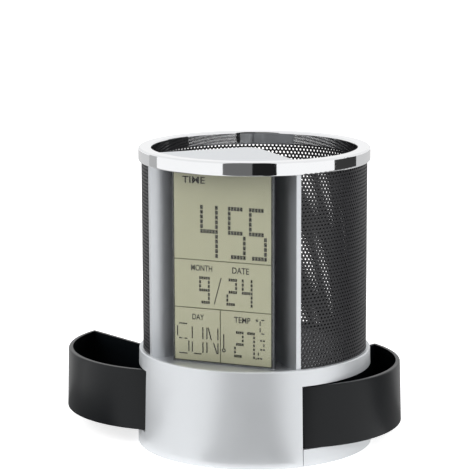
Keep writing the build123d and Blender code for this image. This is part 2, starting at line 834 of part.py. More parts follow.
def flat_cable():
    """Ribbon from the clock board down through the deck and along the spine to the button board."""
    z_top = bay_floor_z + board_rise + lead_rise
    run_y = -board_back + ribbon_thickness / 2 + fit_gap
    run_z = deck_bottom_z - ribbon_drop
    end_y = switch_board_y - switch_board_thickness - ribbon_thickness / 2 - fit_gap
    end_z = button_high_z
    path = FilletPolyline(
        (0, run_y, z_top),
        (0, run_y, run_z),
        (0, end_y, run_z),
        (0, end_y, end_z),
        radius=ribbon_bend,
    )
    start = Plane(origin=path @ 0, z_dir=path % 0, x_dir=(1, 0, 0))
    return sweep(start * Rectangle(ribbon_width, ribbon_thickness), path=path)


left_closed = closed_drawer()
parts = {
    "base_housing": base_housing(),
    "base_tray": base_tray(),
    "bottom_plate": bottom_plate(),
    "battery_door": battery_door(),
    "rubber_feet": rubber_feet(),
    "plate_screws": plate_screws(),
    "tray_screws": tray_screws(),
    "battery_box": battery_box(),
    "battery_cells": battery_cells(),
    "battery_springs": battery_springs(),
    "battery_contacts": battery_contacts(),
    "battery_leads": battery_leads(),
    "clock_frame": clock_frame(),
    "frame_screws": frame_screws(),
    "frame_cover": frame_cover(),
    "top_ring": top_ring(),
    "mesh_sleeve": mesh_sleeve(),
    "lcd_lens": lcd_lens(),
    "lcd_glass": lcd_glass(),
    "clock_back": clock_back(),
    "clock_board": clock_board(),
    "clock_chip": clock_chip(),
    "crystal": crystal(),
    "zebra_strip": zebra_strip(),
    "thermistor": thermistor(),
    "buzzer": buzzer(),
    "flat_cable": flat_cable(),
    "button_board": button_board(),
    "tact_switches": tact_switches(),
    "left_drawer": swung(left_closed, -pivot_x, left_open_angle),
    "right_drawer": swung(mirrored(left_closed), pivot_x, -right_open_angle),
    "pivot_pins": pivot_pins(),
}
for name, (x, z) in button_places().items():
    parts[name] = key(x, z)

os.makedirs("parts", exist_ok=True)
for name, shape in parts.items():
    solids = shape if isinstance(shape, list) else [shape]
    node = solids[0] if len(solids) == 1 else Compound(children=solids)
    export_step(node, f"parts/{name}.step")
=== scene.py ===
import bmesh
import bpy
import logging
import math
from dataclasses import dataclass, field
from enum import Enum
from mathutils import Matrix, Vector

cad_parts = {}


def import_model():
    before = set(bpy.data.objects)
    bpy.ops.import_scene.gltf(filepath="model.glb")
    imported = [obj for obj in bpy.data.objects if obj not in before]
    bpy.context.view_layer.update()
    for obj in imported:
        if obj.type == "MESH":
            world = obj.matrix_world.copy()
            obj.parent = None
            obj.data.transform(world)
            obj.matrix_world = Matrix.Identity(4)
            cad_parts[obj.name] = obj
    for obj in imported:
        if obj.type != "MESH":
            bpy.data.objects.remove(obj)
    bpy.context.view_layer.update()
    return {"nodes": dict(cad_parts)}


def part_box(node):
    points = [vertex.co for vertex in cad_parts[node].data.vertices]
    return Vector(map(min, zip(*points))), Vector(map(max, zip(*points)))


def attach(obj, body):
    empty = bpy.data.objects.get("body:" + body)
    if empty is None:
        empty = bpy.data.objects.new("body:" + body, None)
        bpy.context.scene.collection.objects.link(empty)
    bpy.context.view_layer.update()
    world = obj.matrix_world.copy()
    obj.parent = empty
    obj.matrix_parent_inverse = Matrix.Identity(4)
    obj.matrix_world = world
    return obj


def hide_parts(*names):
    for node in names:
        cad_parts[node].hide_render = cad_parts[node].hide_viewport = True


# Desk clock and holder cup on a round base with two swing-out drawers.
# Metres, +Z up, the clock faces -Y, and the origin is in the middle of the underside.

MM = 0.001
# Corners of a mesh that lie closer than this are one
MERGE_GAP = 0.002 * MM
# Standard curve from sRGB to linear light
SRGB_KNEE, SRGB_SLOPE, SRGB_OFFSET, SRGB_POWER = 0.04045, 12.92, 0.055, 2.4
# Fineness of the noise in a finish's colour and gloss, in its height and in the glass
MOTTLE_NOISE = {"Detail": 3.0, "Roughness": 0.55}
GRAIN_NOISE = {"Detail": 2.0, "Roughness": 0.6}
HAZE_NOISE = {"Detail": 2.0}
# Colour sockets of a Mix node, whose names repeat
MIX_COLOUR_A, MIX_COLOUR_B, MIX_RESULT = 6, 7, 2
log = logging.getLogger("pen_holder_clock")

# Rows of a staggered pattern lie this share of the pitch apart
ROW_SHARE = math.sqrt(3.0) / 2
# Sides of the display's film, in millimetres on its face, and the height of its lower level rule
FILM_LEFT, FILM_FOOT, FILM_RIGHT, FILM_TOP = -21.5, 39.6, 21.15, 122.4
RULE_LOW = 61.95

Line = tuple[float, float, float, float]


class Body(Enum):
    """The body that the new pieces ride on."""

    HOLDER = "holder"


class Slot(Enum):
    """The record's material slots that new pieces take their finish from."""

    MESH = "mesh_black"
    LENS = "clear_lens"
    DISPLAY = "lcd_field"


def linear(hex_colour: str) -> tuple[float, float, float, float]:
    """Turns an sRGB hex colour to linear values.

    Args:
        hex_colour: Six hex digits.

    Returns:
        Linear red, green and blue, and full alpha.
    """
    channels = []
    for value in bytes.fromhex(hex_colour):
        share = value / 255
        if share <= SRGB_KNEE:
            channels.append(share / SRGB_SLOPE)
        else:
            channels.append(((share + SRGB_OFFSET) / (1 + SRGB_OFFSET)) ** SRGB_POWER)
    return (*channels, 1.0)


def add_node(tree: bpy.types.NodeTree, kind: str, settings: dict | None = None,
             links: dict | None = None) -> bpy.types.Node:
    """Adds a node with its settings and its incoming links.

    Args:
        tree: Material, world or geometry node tree.
        kind: The node's type name.
        settings: Attributes by name, or input values by socket name or number.
        links: Output sockets by the name or number of the input that they feed.

    Returns:
        The new node.
    """
    node = tree.nodes.new(kind)
    for key, value in (settings or {}).items():
        if isinstance(key, str) and key not in node.inputs and hasattr(node, key):
            setattr(node, key, value)
        else:
            node.inputs[key].default_value = value
    for key, source in (links or {}).items():
        tree.links.new(source, node.inputs[key])
    return node


def new_material(name: str) -> tuple[bpy.types.Material, bpy.types.NodeTree, bpy.types.Node]:
    """Starts an empty node material.

    Args:
        name: The material's name.

    Returns:
        The material, its node tree and its output node.
    """
    material = bpy.data.materials.new(name)
    material.use_nodes = True
    tree = material.node_tree
    tree.nodes.clear()
    output = add_node(tree, "ShaderNodeOutputMaterial")
    return material, tree, output


@dataclass(frozen=True)
class SurfaceFinish:
    """A finish on one principled shader, with fine grain in colour, gloss and height.

    Sizes are real: grain_mm is the width of one grain and height_mm its depth.
    """

    name: str
    colour: str
    shade: str
    roughness: float
    metallic: float = 0.0
    ior: float = 1.5
    coat: float = 0.0
    coat_roughness: float = 0.1
    grain_mm: float = 0.4
    height_mm: float = 0.0
    mottle_mm: float = 12.0
    roughness_spread: float = 0.05

    def build(self) -> bpy.types.Material:
        """Builds the node material.

        Returns:
            The finished material.
        """
        material, tree, output = new_material(self.name)
        place = {"Vector": add_node(tree, "ShaderNodeTexCoord").outputs["Object"]}
        patches = {"Scale": 1 / (self.mottle_mm * MM), **MOTTLE_NOISE}
        mottle = add_node(tree, "ShaderNodeTexNoise", patches, place)
        colours = {MIX_COLOUR_A: linear(self.shade), MIX_COLOUR_B: linear(self.colour)}
        blend = add_node(tree, "ShaderNodeMix", {"data_type": "RGBA", **colours}, {0: mottle.outputs[0]})
        spread = self.roughness_spread
        steps = {"To Min": self.roughness - spread, "To Max": self.roughness + spread}
        gloss = add_node(tree, "ShaderNodeMapRange", steps, {"Value": mottle.outputs[0]})
        settings = {"Metallic": self.metallic}
        if self.metallic < 1:
            settings["IOR"] = self.ior
        if self.coat > 0:
            settings.update({"Coat Weight": self.coat, "Coat Roughness": self.coat_roughness})
        links = {"Base Color": blend.outputs[MIX_RESULT], "Roughness": gloss.outputs[0]}
        if self.height_mm > 0:
            grains = {"Scale": 1 / (self.grain_mm * MM), **GRAIN_NOISE}
            grain = add_node(tree, "ShaderNodeTexNoise", grains, place).outputs[0]
            heights = {"Strength": 1.0, "Distance": self.height_mm * MM}
            links["Normal"] = add_node(tree, "ShaderNodeBump", heights, {"Height": grain}).outputs[0]
        shader = add_node(tree, "ShaderNodeBsdfPrincipled", settings, links)
        tree.links.new(shader.outputs[0], output.inputs["Surface"])
        return material


@dataclass(frozen=True)
class ClearGlass:
    """Glass with an anti-glare coat, over the liquid crystal.

    It has a weak, sharp reflection, and a faint haze in patches of haze_mm.
    """

    name: str = "coated_clear_glass"
    colour: str = "F6F6F6"
    ior: float = 1.2
    roughness: float = 0.006
    haze_roughness: float = 0.012
    haze_mm: float = 9.0
    haze_start: float = 0.4
    haze_end: float = 0.8

    def build(self) -> bpy.types.Material:
        """Builds the node material.

        Returns:
            A glass shader that lets shadow rays pass.
        """
        material, tree, output = new_material(self.name)
        place = {"Vector": add_node(tree, "ShaderNodeTexCoord").outputs["Object"]}
        patches = {"Scale": 1 / (self.haze_mm * MM), **HAZE_NOISE}
        haze = add_node(tree, "ShaderNodeTexNoise", patches, place)
        steps = {
            "From Min": self.haze_start, "From Max": self.haze_end,
            "To Min": self.roughness, "To Max": self.haze_roughness,
        }
        gloss = add_node(tree, "ShaderNodeMapRange", steps, {"Value": haze.outputs[0]})
        clearness = {"Base Color": linear(self.colour), "Transmission Weight": 1.0, "IOR": self.ior}
        glass = add_node(tree, "ShaderNodeBsdfPrincipled", clearness, {"Roughness": gloss.outputs[0]})
        clear = add_node(tree, "ShaderNodeBsdfTransparent", {"Color": linear(self.colour)})
        shadow = add_node(tree, "ShaderNodeLightPath").outputs["Is Shadow Ray"]
        links = {0: shadow, 1: glass.outputs[0], 2: clear.outputs[0]}
        mix = add_node(tree, "ShaderNodeMixShader", links=links)
        tree.links.new(mix.outputs[0], output.inputs["Surface"])
        return material


# Moulded plastic under satin silver lacquer: pale, with soft wide highlights and a fine metallic sparkle
SILVER_LACQUER = SurfaceFinish(
    "satin_silver_lacquer", "DADDE0", "D3D6D9", 0.42, metallic=0.55, coat=0.1, coat_roughness=0.3,
    grain_mm=0.25, height_mm=0.004, mottle_mm=18.0,
)
# Vacuum-metallised plastic of the clock's bay: bright silver that mirrors softly, so that the walls shade
# from white to slate
METALLISED_PLASTIC = SurfaceFinish(
    "metallised_silver_plastic", "D4D7DA", "CFD2D6", 0.31, metallic=0.76,
    grain_mm=0.3, height_mm=0.0002, mottle_mm=25.0, roughness_spread=0.03,
)
# Polished chrome plating on the ring: a clean mirror with the faint waviness of a moulding
CHROME_PLATE = SurfaceFinish(
    "polished_chrome_plate", "EDEEEF", "E6E7E9", 0.045, metallic=1.0,
    grain_mm=14.0, height_mm=0.01, mottle_mm=20.0, roughness_spread=0.02,
)
# Black powder coat on perforated steel sheet: dark grey with a dull sheen and a fine orange-peel texture
POWDER_COAT = SurfaceFinish(
    "black_powder_coat", "202023", "1A1A1D", 0.45, grain_mm=0.3, height_mm=0.01, mottle_mm=15.0,
)
# Charcoal ABS moulded in a polished tool: satin, nearly black, with pale highlights on its round lip
CHARCOAL_ABS = SurfaceFinish(
    "satin_charcoal_abs", "0C0F12", "090C0F", 0.33, ior=1.34, grain_mm=0.35, height_mm=0.004, mottle_mm=20.0,
)
# Black ABS with a fine spark-eroded texture: dull and deep black
TEXTURED_BLACK = SurfaceFinish(
    "textured_black_abs", "1B1C1E", "161719", 0.55, grain_mm=0.3, height_mm=0.02, mottle_mm=10.0,
)
# Reflective liquid crystal with its polariser: olive grey, matt, a little uneven
POLARISER_FILM = SurfaceFinish(
    "olive_grey_polariser", "92927A", "8D8D75", 0.6, grain_mm=0.5, height_mm=0.002, mottle_mm=16.0,
)
# Switched segments of the display: dark olive, with no gloss of their own
SEGMENT_DARK = SurfaceFinish(
    "switched_lcd_segment", "1C1C14", "171710", 0.7, grain_mm=0.2, mottle_mm=3.0,
)
# Fine rule lines printed on the display: lighter olive than the segments
SEGMENT_LINE = SurfaceFinish(
    "printed_lcd_rule", "4A4A32", "42422C", 0.7, grain_mm=0.2, mottle_mm=3.0,
)
# Edge of the display glass, where the dark seal shows: slate grey with some gloss
GLASS_SEAL = SurfaceFinish(
    "dark_glass_seal", "55585A", "4A4D4F", 0.3, grain_mm=0.4, mottle_mm=6.0,
)
# Green solder mask over copper: glossy and a little uneven
SOLDER_MASK = SurfaceFinish(
    "green_solder_mask", "1F6B43", "185838", 0.3, coat=0.4, grain_mm=0.5, height_mm=0.01, mottle_mm=5.0,
)
# Turned and zinc-plated steel of screws and pins: bright with fine turning marks
BRIGHT_STEEL = SurfaceFinish(
    "zinc_plated_steel", "B9BABC", "A6A7AA", 0.25, metallic=1.0,
    grain_mm=0.15, height_mm=0.006, mottle_mm=2.5,
)
# Nickel-plated spring steel of the cell contacts: warm and bright
NICKEL_PLATE = SurfaceFinish(
    "nickel_plated_spring_steel", "C2BCAE", "B4AE9F", 0.2, metallic=1.0,
    grain_mm=0.2, height_mm=0.004, mottle_mm=3.0,
)
# Moulded rubber of the pads and the strip: black and dull
MOULDED_RUBBER = SurfaceFinish(
    "moulded_black_rubber", "262626", "1E1E1E", 0.8, grain_mm=0.5, height_mm=0.03, mottle_mm=6.0,
)
# Shrunk plastic sleeve of a bare cell: dark teal and glossy
CELL_SLEEVE = SurfaceFinish(
    "teal_cell_sleeve", "285F66", "21535A", 0.3, coat=0.3, grain_mm=0.6, height_mm=0.005, mottle_mm=9.0,
)
# Extruded vinyl over the leads and the ribbon: pale grey
WIRE_VINYL = SurfaceFinish(
    "pale_grey_vinyl", "C4C4C5", "B9B9BB", 0.45, grain_mm=0.4, height_mm=0.01, mottle_mm=4.0,
)
# Charcoal ABS of the button caps: finer and duller than the drawers
KEY_ABS = SurfaceFinish(
    "matt_charcoal_key_abs", "3A3D40", "323538", 0.48, grain_mm=0.25, height_mm=0.008, mottle_mm=4.0,
)

# The carried nodes that wear each finish
NODE_FINISHES = {
    SILVER_LACQUER: ("base_housing", "base_tray"),
    TEXTURED_BLACK: (
        "bottom_plate", "battery_door", "battery_box", "clock_back", "clock_chip", "thermistor", "buzzer",
        "tact_switches",
    ),
    MOULDED_RUBBER: ("rubber_feet", "zebra_strip"),
    BRIGHT_STEEL: ("plate_screws", "tray_screws", "frame_screws", "crystal", "pivot_pins"),
    CELL_SLEEVE: ("battery_cells",),
    NICKEL_PLATE: ("battery_springs", "battery_contacts"),
    WIRE_VINYL: ("battery_leads", "flat_cable"),
    METALLISED_PLASTIC: ("clock_frame", "frame_cover"),
    CHROME_PLATE: ("top_ring",),
    SOLDER_MASK: ("clock_board", "button_board"),
    GLASS_SEAL: ("lcd_glass",),
    CHARCOAL_ABS: ("left_drawer", "right_drawer"),
    KEY_ABS: ("mode_button", "set_button", "up_button", "down_button"),
}


class Wardrobe:
    """Builds each finish once and hands out its material."""

    def __init__(self) -> None:
        """Starts with no material built."""
        self.built: dict[str, bpy.types.Material] = {}

    def material(self, finish: SurfaceFinish | ClearGlass) -> bpy.types.Material:
        """Gives the material of a finish, built at its first use.

        Args:
            finish: The finish wanted.

        Returns:
            Its material.
        """
        if finish.name not in self.built:
            self.built[finish.name] = finish.build()
        return self.built[finish.name]

    def dress(self, thing: bpy.types.Object, finish: SurfaceFinish | ClearGlass) -> None:
        """Puts one finish on every slot of an object.

        Args:
            thing: Mesh object, a new piece or a carried node.
            finish: The finish to put on it.
        """
        material = self.material(finish)
        if not thing.material_slots:
            thing.data.materials.append(material)
        for place in thing.material_slots:
            place.material = material


def add_object(name: str, data: bpy.types.ID) -> bpy.types.Object:
    """Puts a mesh, a text, a lamp or a camera into the scene, at the origin.

    Args:
        name: The object's name.
        data: What it shows.

    Returns:
        The new object.
    """
    thing = bpy.data.objects.new(name, data)
    bpy.context.scene.collection.objects.link(thing)
    return thing


def plain_mesh(thing: bpy.types.Object) -> bpy.types.Mesh:
    """Gives the mesh that an object's modifiers or text make."""
    shown = thing.evaluated_get(bpy.context.evaluated_depsgraph_get())
    return bpy.data.meshes.new_from_object(shown)


def object_from(name: str, bm: bmesh.types.BMesh, smooth_angle: float | None = None) -> bpy.types.Object:
    """Finishes a bmesh as an object, with its doubles merged and its faces outwards.

    Args:
        name: The piece's name.
        bm: The mesh being built, which is freed.
        smooth_angle: Edges flatter than this many degrees are shaded smooth.

    Returns:
        The new object.
    """
    bmesh.ops.remove_doubles(bm, verts=bm.verts, dist=MERGE_GAP)
    bmesh.ops.recalc_face_normals(bm, faces=bm.faces)
    mesh = bpy.data.meshes.new(name)
    bm.to_mesh(mesh)
    bm.free()
    if smooth_angle is not None:
        mesh.shade_smooth()
        mesh.set_sharp_from_angle(angle=math.radians(smooth_angle))
    return add_object(name, mesh)


def place_piece(thing: bpy.types.Object, body: Body, nodes: tuple[str, ...] = ()) -> None:
    """Says which body a piece rides on and the nodes it stands for, and reports it.

    Args:
        thing: The finished piece.
        body: The body that carries it.
        nodes: The nodes that it replaces.
    """
    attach(thing, body.value)
    if nodes:
        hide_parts(*nodes)
    log.info("%s: %d faces on %s", thing.name, len(thing.data.polygons), body.value)


def polar(radius: float, angle: float, z: float) -> Vector:
    """Gives the point at a radius from the cup's axis, radians from its front towards +X, and a height."""
    return Vector((radius * math.sin(angle), -radius * math.cos(angle), z))


def aimed(place: Vector, target: Vector) -> Matrix:
    """Gives the place and turn of a lamp or camera that looks at a target."""
    turn = (target - place).to_track_quat("-Z", "Y").to_matrix().to_4x4()
    return Matrix.Translation(place) @ turn


# Sums of the perforated sheet's node tree: result, operation and terms, each a number or an earlier result.
# They give the hexagonal cell with its hole, the staggered grid, and the bend round the cup.
SHEET_SUMS = (
    ("odd corner", "MODULO", "corner number", 2.0),
    ("corner reach", "DIVIDE", "Pitch", math.sqrt(3.0)),
    ("side reach", "DIVIDE", "Pitch", 2.0),
    ("side step", "SUBTRACT", "side reach", "corner reach"),
    ("side change", "MULTIPLY", "odd corner", "side step"),
    ("cell edge", "ADD", "corner reach", "side change"),
    ("front", "DIVIDE", "Thickness", 2.0),
    ("back", "MULTIPLY", "front", -1.0),
    ("column share", "ADD", "x", 0.5),
    ("last column", "SUBTRACT", "Columns", 1.0),
    ("column place", "MULTIPLY", "column share", "last column"),
    ("column", "ROUND", "column place"),
    ("row share", "ADD", "y", 0.5),
    ("last row", "SUBTRACT", "Rows", 1.0),
    ("row place", "MULTIPLY", "row share", "last row"),
    ("row", "ROUND", "row place"),
    ("odd row", "MODULO", "row", 2.0),
    ("row shift", "MULTIPLY", "odd row", 0.5),
    ("shifted column", "ADD", "column", "row shift"),
    ("across", "MULTIPLY", "shifted column", "Pitch"),
    ("row step", "MULTIPLY", "Pitch", ROW_SHARE),
    ("up", "MULTIPLY", "row", "row step"),
    ("turn", "DIVIDE", "x", "Bend Radius"),
    ("angle", "ADD", "turn", "First Angle"),
    ("sine", "SINE", "angle"),
    ("cosine", "COSINE", "angle"),
    ("reach", "ADD", "Bend Radius", "z"),
    ("bent x", "MULTIPLY", "reach", "sine"),
    ("depth", "MULTIPLY", "reach", "cosine"),
    ("bent y", "MULTIPLY", "depth", -1.0),
    ("bent z", "ADD", "y", "Low Z"),
)


@dataclass
class PerforatedSleeve:
    """Sheet wall of the cup, with round holes in staggered rows.

    Hexagonal cells of the sheet, with a hole each, are instanced on a grid, joined, bent round the cup and
    trimmed.
    """

    radius: float = 46.9 * MM
    thickness: float = 0.6 * MM
    hole_radius: float = 0.5 * MM
    pitch: float = 1.7 * MM
    half_opening: float = math.radians(45.42)
    hole_sides: int = 12
    sections: tuple[str, ...] = ("sleeve_mesh_right", "sleeve_mesh_rear", "sleeve_mesh_left")
    margin_cells: int = 2
    join_gap: float = 0.01 * MM
    cut_gap: float = 0.001 * MM
    pair_gap: float = 0.02 * MM
    smooth_angle: float = 40.0

    def ring_at(self, tree: bpy.types.NodeTree, links: dict, sockets: dict, reach: str,
                height: str) -> bpy.types.NodeSocket:
        """Moves corners of the cell to a reach along their own direction, at one height.

        Args:
            tree: The node tree.
            links: The mesh, and the choice of its corners where not all of them move.
            sockets: The tree's sockets by name.
            reach: Name of the distance from the cell's middle.
            height: Name of the height.

        Returns:
            The moved mesh.
        """
        stretch = {0: sockets["way"], "Scale": sockets[reach]}
        out = add_node(tree, "ShaderNodeVectorMath", {"operation": "SCALE"}, stretch).outputs[0]
        lift = add_node(tree, "ShaderNodeCombineXYZ", links={2: sockets[height]}).outputs[0]
        place = add_node(tree, "ShaderNodeVectorMath", {"operation": "ADD"}, {0: out, 1: lift}).outputs[0]
        return add_node(tree, "GeometryNodeSetPosition", links={**links, "Position": place}).outputs[0]

    def cell(self, tree: bpy.types.NodeTree, sockets: dict) -> bpy.types.NodeSocket:
        """Makes one hexagonal cell of the sheet with its hole.

        Args:
            tree: The node tree.
            sockets: Its sockets by name.

        Returns:
            The cell's mesh, closed but for its outer sides.
        """
        quarter_turn = (0.0, 0.0, math.pi / 2)
        sides = {"Vertices": sockets["Hole Sides"]}
        circle = add_node(tree, "GeometryNodeMeshCircle", {"Radius": 1.0}, sides).outputs[0]
        turned = add_node(tree, "GeometryNodeTransform", {"Rotation": quarter_turn}, {"Geometry": circle})
        mesh = self.ring_at(tree, {"Geometry": turned.outputs[0]}, sockets, "cell edge", "front")
        links = {"Mesh": mesh}
        for reach, height in (("Hole Radius", "front"), ("Hole Radius", "back"), ("cell edge", "back")):
            step = add_node(tree, "GeometryNodeExtrudeMesh", {"mode": "EDGES", "Offset Scale": 0.0}, links)
            mesh, top = step.outputs["Mesh"], step.outputs["Top"]
            mesh = self.ring_at(tree, {"Geometry": mesh, "Selection": top}, sockets, reach, height)
            links = {"Mesh": mesh, "Selection": top}
        return mesh

    def cell_tree(self) -> bpy.types.GeometryNodeTree:
        """Makes the node tree that lays out, joins and bends the cells.

        Returns:
            The tree, with named inputs for its sizes.
        """
        tree = bpy.data.node_groups.new("perforated_sheet", "GeometryNodeTree")
        inputs = {
            "NodeSocketGeometry": ("Geometry",),
            "NodeSocketFloat": ("Pitch", "Hole Radius", "Thickness", "Bend Radius", "First Angle", "Low Z"),
            "NodeSocketInt": ("Columns", "Rows", "Hole Sides"),
            "NodeSocketMaterial": ("Finish",),
        }
        for kind, names in inputs.items():
            for name in names:
                tree.interface.new_socket(name, in_out="INPUT", socket_type=kind)
        tree.interface.new_socket("Geometry", in_out="OUTPUT", socket_type="NodeSocketGeometry")
        sockets = {socket.name: socket for socket in add_node(tree, "NodeGroupInput").outputs}
        here = add_node(tree, "GeometryNodeInputPosition").outputs[0]
        sockets.update(zip("xyz", add_node(tree, "ShaderNodeSeparateXYZ", links={0: here}).outputs))
        sockets["corner number"] = add_node(tree, "GeometryNodeInputIndex").outputs[0]
        level = {"operation": "MULTIPLY", 1: (1.0, 1.0, 0.0)}
        flat = add_node(tree, "ShaderNodeVectorMath", level, {0: here}).outputs[0]
        way = add_node(tree, "ShaderNodeVectorMath", {"operation": "NORMALIZE"}, {0: flat})
        sockets["way"] = way.outputs[0]
        for result, operation, *terms in SHEET_SUMS:
            numbers = {i: term for i, term in enumerate(terms) if not isinstance(term, str)}
            links = {i: sockets[term] for i, term in enumerate(terms) if isinstance(term, str)}
            total = add_node(tree, "ShaderNodeMath", {"operation": operation, **numbers}, links)
            sockets[result] = total.outputs[0]

        links = {0: sockets["across"], 1: sockets["up"]}
        spot = add_node(tree, "ShaderNodeCombineXYZ", links=links).outputs[0]
        links = {i: sockets["bent " + axis] for i, axis in enumerate("xyz")}
        bent = add_node(tree, "ShaderNodeCombineXYZ", links=links).outputs[0]
        counts = {"Vertices X": sockets["Columns"], "Vertices Y": sockets["Rows"]}
        grid = add_node(tree, "GeometryNodeMeshGrid", {"Size X": 1.0, "Size Y": 1.0}, counts).outputs[0]
        links = {"Geometry": grid, "Position": spot}
        laid = add_node(tree, "GeometryNodeSetPosition", links=links).outputs[0]
        links = {"Points": laid, "Instance": self.cell(tree, sockets)}
        cells = add_node(tree, "GeometryNodeInstanceOnPoints", links=links).outputs[0]
        real = add_node(tree, "GeometryNodeRealizeInstances", links={0: cells}).outputs[0]
        gap = {"Distance": self.join_gap}
        joined = add_node(tree, "GeometryNodeMergeByDistance", gap, {0: real}).outputs[0]
        links = {"Geometry": joined, "Position": bent}
        wall = add_node(tree, "GeometryNodeSetPosition", links=links).outputs[0]
        links = {"Geometry": wall, "Material": sockets["Finish"]}
        dressed = add_node(tree, "GeometryNodeSetMaterial", links=links).outputs[0]
        add_node(tree, "NodeGroupOutput", links={0: dressed})
        return tree

    def section(self, tree: bpy.types.GeometryNodeTree, name: str, start: float, end: float, low_z: float,
                high_z: float, material: bpy.types.Material) -> bpy.types.Object:
        """Makes one stretch of the sleeve, trimmed at its angles and heights.

        Args:
            tree: The node tree that makes the sheet.
            name: The piece's name.
            start: First angle in radians.
            end: Last angle in radians.
            low_z: Lower edge of the sheet.
            high_z: Upper edge of the sheet.
            material: Its finish.

        Returns:
            The trimmed stretch as a plain mesh object.
        """
        row_step = self.pitch * ROW_SHARE
        step = self.pitch / self.radius
        first_column = math.floor(start / step) - self.margin_cells
        last_column = math.ceil(end / step) + self.margin_cells
        rows = math.ceil((high_z - low_z) / row_step) + self.margin_cells
        carrier = add_object(name + "_carrier", bpy.data.meshes.new(name + "_carrier"))
        modifier = carrier.modifiers.new("perforate", "NODES")
        modifier.node_group = tree
        values = {
            "Pitch": self.pitch, "Hole Radius": self.hole_radius, "Thickness": self.thickness,
            "Bend Radius": self.radius, "First Angle": first_column * step, "Low Z": low_z,
            "Columns": last_column - first_column, "Rows": rows, "Hole Sides": self.hole_sides,
            "Finish": material,
        }
        for item in tree.interface.items_tree:
            if item.in_out == "INPUT" and item.name in values:
                modifier[item.identifier] = values[item.name]
        mesh = plain_mesh(carrier)
        bpy.data.objects.remove(carrier)
        bm = bmesh.new()
        bm.from_mesh(mesh)
        bpy.data.meshes.remove(mesh)
        cuts = (
            (Vector((0, 0, low_z)), Vector((0, 0, -1))),
            (Vector((0, 0, high_z)), Vector((0, 0, 1))),
            (Vector((0, 0, 0)), Vector((-math.cos(start), -math.sin(start), 0))),
            (Vector((0, 0, 0)), Vector((math.cos(end), math.sin(end), 0))),
        )
        for place, way in cuts:
            bmesh.ops.bisect_plane(
                bm, geom=bm.verts[:] + bm.edges[:] + bm.faces[:], dist=self.cut_gap,
                plane_co=place, plane_no=way, clear_outer=True,
            )
        self.close_rims(bm)
        piece = object_from(name, bm, self.smooth_angle)
        piece.data.materials.append(material)
        return piece

    def rim_place(self, corner: bmesh.types.BMVert) -> tuple[int, int]:
        """Gives a corner's place along the sheet and its height, in steps of pair_gap."""
        along = math.atan2(corner.co.x, -corner.co.y) * self.radius
        return round(along / self.pair_gap), round(corner.co.z / self.pair_gap)

    def close_rims(self, bm: bmesh.types.BMesh) -> None:
        """Closes the cut edges between the front and the back of the sheet, and what slivers leave open.

        Args:
            bm: The trimmed sheet.
        """
        rim = [e for e in bm.edges if e.is_boundary]
        inner = {self.rim_place(v): v for e in rim for v in e.verts if v.co.xy.length < self.radius}
        for edge in rim:
            if all(v.co.xy.length > self.radius for v in edge.verts):
                twins = [inner.get(self.rim_place(v)) for v in edge.verts]
                if None not in twins and twins[0] is not twins[1]:
                    quad = (edge.verts[0], edge.verts[1], twins[1], twins[0])
                    if bm.faces.get(quad) is None:
                        bm.faces.new(quad)
        bmesh.ops.remove_doubles(bm, verts=bm.verts, dist=MERGE_GAP)
        bmesh.ops.holes_fill(bm, edges=[e for e in bm.edges if e.is_boundary])

    def build(self, wardrobe: Wardrobe) -> None:
        """Builds and places the sleeve's stretches, from the right bar round the back to the left bar.

        Args:
            wardrobe: Gives the finish.
        """
        low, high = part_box("mesh_sleeve")
        tree = self.cell_tree()
        material = wardrobe.material(POWDER_COAT)
        span = (2 * math.pi - 2 * self.half_opening) / len(self.sections)
        for number, name in enumerate(self.sections):
            start = self.half_opening + number * span
            piece = self.section(tree, name, start, start + span, low[2], high[2], material)
            place_piece(piece, Body.HOLDER, ("mesh_sleeve",))


class Level(Enum):
    """Level strokes of a seven-part figure, by the usual letters, with the uprights that may end on them."""

    TOP = ("a", "f", "b")
    MIDDLE = ("g", "f", "b")
    BOTTOM = ("d", "e", "c")


class Upright(Enum):
    """The upright strokes of a seven-part figure: letter, right side or left, upper half or lower."""

    RIGHT_HIGH = ("b", True, True)
    RIGHT_LOW = ("c", True, False)
    LEFT_LOW = ("e", False, False)
    LEFT_HIGH = ("f", False, True)


FIGURE_STROKES = {
    "0": "abcdef", "1": "bc", "2": "abged", "3": "abgcd", "4": "fgbc", "5": "afgcd", "6": "afgcde",
    "7": "abc", "8": "abcdefg", "9": "abfgcd",
}

# Each letter's thin strokes, from point to point in a box one unit wide and high
LETTER_STROKES = {
    "S": ((0.13, 1, 0.87, 1), (0, 0.92, 0, 0.57), (0.13, 0.5, 0.42, 0.5), (0.62, 0.5, 0.87, 0.5),
          (1, 0.43, 1, 0.07), (0.13, 0, 0.87, 0)),
    "U": ((0, 1, 0, 0.56), (0, 0.44, 0, 0.05), (1, 1, 1, 0.56), (1, 0.44, 1, 0.05), (0.15, 0, 0.85, 0)),
    "N": ((0, 1, 0, 0.54), (0, 0.42, 0, 0), (1, 1, 1, 0.54), (1, 0.42, 1, 0), (0.13, 1, 0.4, 0.52),
          (0.6, 0.42, 0.92, 0)),
    "C": ((0.25, 1, 1, 1), (0, 0.9, 0, 0.57), (0, 0.43, 0, 0.1), (0.25, 0, 1, 0)),
}


